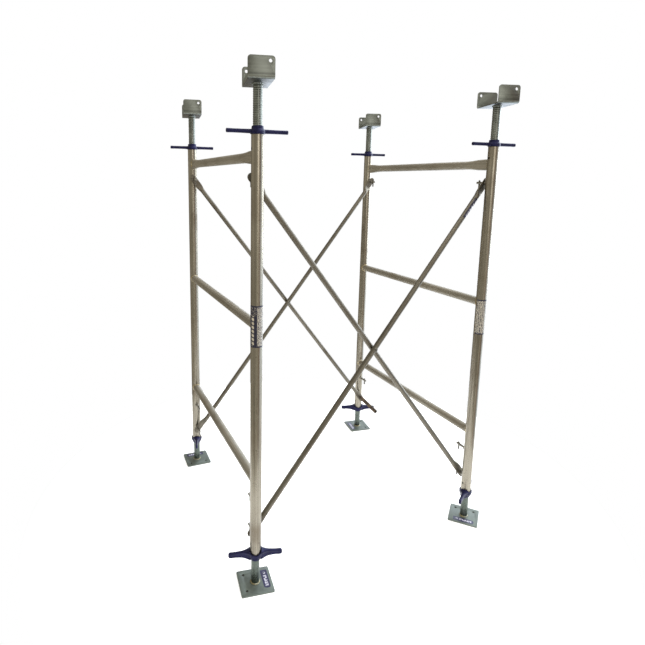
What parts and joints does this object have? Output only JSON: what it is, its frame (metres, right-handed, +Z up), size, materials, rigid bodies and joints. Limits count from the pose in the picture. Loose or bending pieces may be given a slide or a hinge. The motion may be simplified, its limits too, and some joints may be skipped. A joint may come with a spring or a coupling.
{
  "type": "frame scaffold bay with screw jacks and U-heads",
  "caption": "Aluminium shoring frame bay: two ladder frames, riveted cross braces with gravity-lock studs, base screw jacks with plates and U-head screw jacks with wing nuts.",
  "frame": {"origin": "On the floor, under the middle of the whole bounding box.", "axes": "+X runs from the left ladder frame to the right one, +Y from the near legs to the far legs across a frame, and +Z up."},
  "size_m": [1.4696, 1.3324, 2.247],
  "materials": {
    "leg_aluminium": "mill-finish tube, weathered",
    "rung_aluminium": "mill-finish tube, handled and stained",
    "stud_steel": "plain steel, dull",
    "lock_steel": "plain steel, dull",
    "brace_steel": "galvanised steel tube, weathered brown-grey",
    "rivet_steel": "plain steel, dull",
    "sleeve_steel": "dark brown, rusty steel tube",
    "base_jack_zinc": "zinc-plated, cool grey",
    "head_jack_zinc": "zinc-plated, greenish grey",
    "nut_navy": "navy paint on a casting, satin"
  },
  "bodies": {
    "tower": {"brace_far_falling": "brace_steel", "brace_far_rising": "brace_steel", "brace_near_falling": "brace_steel", "brace_near_rising": "brace_steel", "brace_rivet_far": "rivet_steel", "brace_rivet_near": "rivet_steel", "leg_far_left": "leg_aluminium", "leg_far_right": "leg_aluminium", "leg_near_left": "leg_aluminium", "leg_near_right": "leg_aluminium", "low_rung_left": "rung_aluminium", "low_rung_right": "rung_aluminium", "middle_rung_left": "rung_aluminium", "middle_rung_right": "rung_aluminium", "stud_far_left_lower": "stud_steel", "stud_far_left_spare": "stud_steel", "stud_far_left_upper": "stud_steel", "stud_far_right_lower": "stud_steel", "stud_far_right_spare": "stud_steel", "stud_far_right_upper": "stud_steel", "stud_near_left_lower": "stud_steel", "stud_near_left_spare": "stud_steel", "stud_near_left_upper": "stud_steel", "stud_near_right_lower": "stud_steel", "stud_near_right_spare": "stud_steel", "stud_near_right_upper": "stud_steel", "top_rung_left": "rung_aluminium", "top_rung_right": "rung_aluminium"},
    "base_jack_far_left": {"base_jack_far_left": "base_jack_zinc"},
    "base_jack_far_right": {"base_jack_far_right": "base_jack_zinc"},
    "base_jack_near_left": {"base_jack_near_left": "base_jack_zinc"},
    "base_jack_near_right": {"base_jack_near_right": "base_jack_zinc"},
    "base_nut_far_left": {"base_nut_far_left": "nut_navy"},
    "base_nut_far_right": {"base_nut_far_right": "nut_navy"},
    "base_nut_near_left": {"base_nut_near_left": "nut_navy"},
    "base_nut_near_right": {"base_nut_near_right": "nut_navy"},
    "head_jack_far_left": {"head_jack_far_left": "head_jack_zinc"},
    "head_jack_far_right": {"head_jack_far_right": "head_jack_zinc"},
    "head_jack_near_left": {"head_jack_near_left": "head_jack_zinc"},
    "head_jack_near_right": {"head_jack_near_right": "head_jack_zinc"},
    "head_nut_far_left": {"head_nut_far_left": "nut_navy"},
    "head_nut_far_right": {"head_nut_far_right": "nut_navy"},
    "head_nut_near_left": {"head_nut_near_left": "nut_navy"},
    "head_nut_near_right": {"head_nut_near_right": "nut_navy"},
    "lock_far_left_lower": {"lock_far_left_lower": "lock_steel"},
    "lock_far_left_spare": {"lock_far_left_spare": "lock_steel"},
    "lock_far_left_upper": {"lock_far_left_upper": "lock_steel"},
    "lock_far_right_lower": {"lock_far_right_lower": "lock_steel"},
    "lock_far_right_spare": {"lock_far_right_spare": "lock_steel"},
    "lock_far_right_upper": {"lock_far_right_upper": "lock_steel"},
    "lock_near_left_lower": {"lock_near_left_lower": "lock_steel"},
    "lock_near_left_spare": {"lock_near_left_spare": "lock_steel"},
    "lock_near_left_upper": {"lock_near_left_upper": "lock_steel"},
    "lock_near_right_lower": {"lock_near_right_lower": "lock_steel"},
    "lock_near_right_spare": {"lock_near_right_spare": "lock_steel"},
    "lock_near_right_upper": {"lock_near_right_upper": "lock_steel"},
    "spare_sleeve": {"spare_sleeve": "sleeve_steel"}
  },
  "joints": [
    {"name": "base_nut_turn_near_left", "type": "hinge", "parent": "tower", "child": "base_nut_near_left", "pos_m": [-0.6096, -0.55402, 0.149], "axis": [0, 0, 1], "range_deg": [-3600, 12960]},
    {"name": "base_jack_slide_near_left", "type": "slide", "parent": "tower", "child": "base_jack_near_left", "axis": [0, 0, -1], "range_m": [-0.085, 0.305]},
    {"name": "head_nut_turn_near_left", "type": "hinge", "parent": "tower", "child": "head_nut_near_left", "pos_m": [-0.6096, -0.55402, 1.978], "axis": [0, 0, 1], "range_deg": [-11520, 5760]},
    {"name": "head_jack_slide_near_left", "type": "slide", "parent": "tower", "child": "head_jack_near_left", "axis": [0, 0, 1], "range_m": [-0.136, 0.271]},
    {"name": "base_nut_turn_near_right", "type": "hinge", "parent": "tower", "child": "base_nut_near_right", "pos_m": [0.6096, -0.55402, 0.149], "axis": [0, 0, 1], "range_deg": [-3600, 12960]},
    {"name": "base_jack_slide_near_right", "type": "slide", "parent": "tower", "child": "base_jack_near_right", "axis": [0, 0, -1], "range_m": [-0.085, 0.305]},
    {"name": "head_nut_turn_near_right", "type": "hinge", "parent": "tower", "child": "head_nut_near_right", "pos_m": [0.6096, -0.55402, 1.978], "axis": [0, 0, 1], "range_deg": [-11520, 5760]},
    {"name": "head_jack_slide_near_right", "type": "slide", "parent": "tower", "child": "head_jack_near_right", "axis": [0, 0, 1], "range_m": [-0.136, 0.271]},
    {"name": "base_nut_turn_far_left", "type": "hinge", "parent": "tower", "child": "base_nut_far_left", "pos_m": [-0.6096, 0.54598, 0.149], "axis": [0, 0, 1], "range_deg": [-3600, 12960]},
    {"name": "base_jack_slide_far_left", "type": "slide", "parent": "tower", "child": "base_jack_far_left", "axis": [0, 0, -1], "range_m": [-0.085, 0.305]},
    {"name": "head_nut_turn_far_left", "type": "hinge", "parent": "tower", "child": "head_nut_far_left", "pos_m": [-0.6096, 0.54598, 1.978], "axis": [0, 0, 1], "range_deg": [-11520, 5760]},
    {"name": "head_jack_slide_far_left", "type": "slide", "parent": "tower", "child": "head_jack_far_left", "axis": [0, 0, 1], "range_m": [-0.136, 0.271]},
    {"name": "base_nut_turn_far_right", "type": "hinge", "parent": "tower", "child": "base_nut_far_right", "pos_m": [0.6096, 0.54598, 0.149], "axis": [0, 0, 1], "range_deg": [-3600, 12960]},
    {"name": "base_jack_slide_far_right", "type": "slide", "parent": "tower", "child": "base_jack_far_right", "axis": [0, 0, -1], "range_m": [-0.085, 0.305]},
    {"name": "head_nut_turn_far_right", "type": "hinge", "parent": "tower", "child": "head_nut_far_right", "pos_m": [0.6096, 0.54598, 1.978], "axis": [0, 0, 1], "range_deg": [-11520, 5760]},
    {"name": "head_jack_slide_far_right", "type": "slide", "parent": "tower", "child": "head_jack_far_right", "axis": [0, 0, 1], "range_m": [-0.136, 0.271]},
    {"name": "lock_swing_near_left_lower", "type": "hinge", "parent": "tower", "child": "lock_near_left_lower", "pos_m": [-0.6096, -0.48002, 0.237], "axis": [1, 0, 0], "range_deg": [-30, 90]},
    {"name": "lock_swing_near_left_spare", "type": "hinge", "parent": "tower", "child": "lock_near_left_spare", "pos_m": [-0.6096, -0.48002, 0.389], "axis": [1, 0, 0], "range_deg": [-30, 90]},
    {"name": "lock_swing_near_left_upper", "type": "hinge", "parent": "tower", "child": "lock_near_left_upper", "pos_m": [-0.6096, -0.48002, 1.805], "axis": [1, 0, 0], "range_deg": [-30, 90]},
    {"name": "lock_swing_near_right_lower", "type": "hinge", "parent": "tower", "child": "lock_near_right_lower", "pos_m": [0.6096, -0.48002, 0.237], "axis": [1, 0, 0], "range_deg": [-30, 90]},
    {"name": "lock_swing_near_right_spare", "type": "hinge", "parent": "tower", "child": "lock_near_right_spare", "pos_m": [0.6096, -0.48002, 0.389], "axis": [1, 0, 0], "range_deg": [-30, 90]},
    {"name": "lock_swing_near_right_upper", "type": "hinge", "parent": "tower", "child": "lock_near_right_upper", "pos_m": [0.6096, -0.48002, 1.805], "axis": [1, 0, 0], "range_deg": [-30, 90]},
    {"name": "lock_swing_far_left_lower", "type": "hinge", "parent": "tower", "child": "lock_far_left_lower", "pos_m": [-0.6096, 0.47198, 0.237], "axis": [-1, 0, 0], "range_deg": [-30, 90]},
    {"name": "lock_swing_far_left_spare", "type": "hinge", "parent": "tower", "child": "lock_far_left_spare", "pos_m": [-0.6096, 0.47198, 0.389], "axis": [-1, 0, 0], "range_deg": [-30, 90]},
    {"name": "lock_swing_far_left_upper", "type": "hinge", "parent": "tower", "child": "lock_far_left_upper", "pos_m": [-0.6096, 0.47198, 1.805], "axis": [-1, 0, 0], "range_deg": [-30, 90]},
    {"name": "lock_swing_far_right_lower", "type": "hinge", "parent": "tower", "child": "lock_far_right_lower", "pos_m": [0.6096, 0.47198, 0.237], "axis": [-1, 0, 0], "range_deg": [0, 5]},
    {"name": "lock_swing_far_right_spare", "type": "hinge", "parent": "tower", "child": "lock_far_right_spare", "pos_m": [0.6096, 0.47198, 0.389], "axis": [-1, 0, 0], "range_deg": [-30, 90]},
    {"name": "lock_swing_far_right_upper", "type": "hinge", "parent": "tower", "child": "lock_far_right_upper", "pos_m": [0.6096, 0.47198, 1.805], "axis": [-1, 0, 0], "range_deg": [-30, 90]},
    {"name": "spare_sleeve_slide", "type": "slide", "parent": "tower", "child": "spare_sleeve", "axis": [0, -0.9925, -0.1219], "range_m": [0, 0.045]}
  ],
  "couplings": [
    {"joint": "base_jack_slide_near_left", "follows": "base_nut_turn_near_left", "m_per_rad": 0.0013475},
    {"joint": "head_jack_slide_near_left", "follows": "head_nut_turn_near_left", "m_per_rad": -0.0013475},
    {"joint": "base_jack_slide_near_right", "follows": "base_nut_turn_near_right", "m_per_rad": 0.0013475},
    {"joint": "head_jack_slide_near_right", "follows": "head_nut_turn_near_right", "m_per_rad": -0.0013475},
    {"joint": "base_jack_slide_far_left", "follows": "base_nut_turn_far_left", "m_per_rad": 0.0013475},
    {"joint": "head_jack_slide_far_left", "follows": "head_nut_turn_far_left", "m_per_rad": -0.0013475},
    {"joint": "base_jack_slide_far_right", "follows": "base_nut_turn_far_right", "m_per_rad": 0.0013475},
    {"joint": "head_jack_slide_far_right", "follows": "head_nut_turn_far_right", "m_per_rad": -0.0013475}
  ]
}
